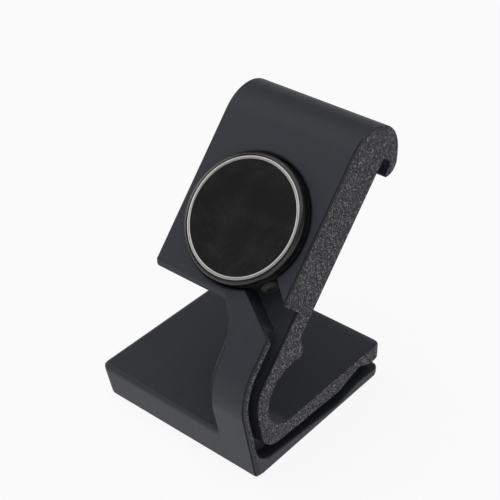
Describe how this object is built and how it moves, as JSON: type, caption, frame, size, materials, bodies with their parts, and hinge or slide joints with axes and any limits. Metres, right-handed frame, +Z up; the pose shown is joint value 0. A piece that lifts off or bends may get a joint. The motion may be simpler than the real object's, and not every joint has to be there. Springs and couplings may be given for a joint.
{
  "type": "smartwatch charging dock",
  "caption": "Printed desk stand that leans forward from a square base, with a tilted slab, a hooked head, a side channel for the lead and a round dished charging puck.",
  "frame": {"origin": "middle of the bounding box's bottom, on the table", "axes": "+Z up, +X to the right (the side with the riser and the lead's channel), +Y to the rear; the slab faces -Y and up"},
  "size_m": [0.046, 0.052, 0.0713],
  "materials": {
    "printed_plastic": "matte, faint layer lines",
    "puck_shell": "fine matte",
    "puck_gloss": "polished",
    "gland_rubber": "matte",
    "magnet_nickel": "nickel plated",
    "copper_winding": "enamelled copper",
    "ferrite": "sintered",
    "board_green": "solder mask",
    "chip_black": "moulded",
    "capacitor_tan": "ceramic"
  },
  "bodies": {
    "root": {"dock_body": "printed_plastic", "puck_housing": "puck_shell", "puck_cover": "puck_gloss", "lead_gland": "gland_rubber", "alignment_magnet": "magnet_nickel", "charging_coil": "copper_winding", "ferrite_sheet": "ferrite", "circuit_board": "board_green", "charging_chip": "chip_black", "board_capacitor": "capacitor_tan"}
  },
  "joints": []
}
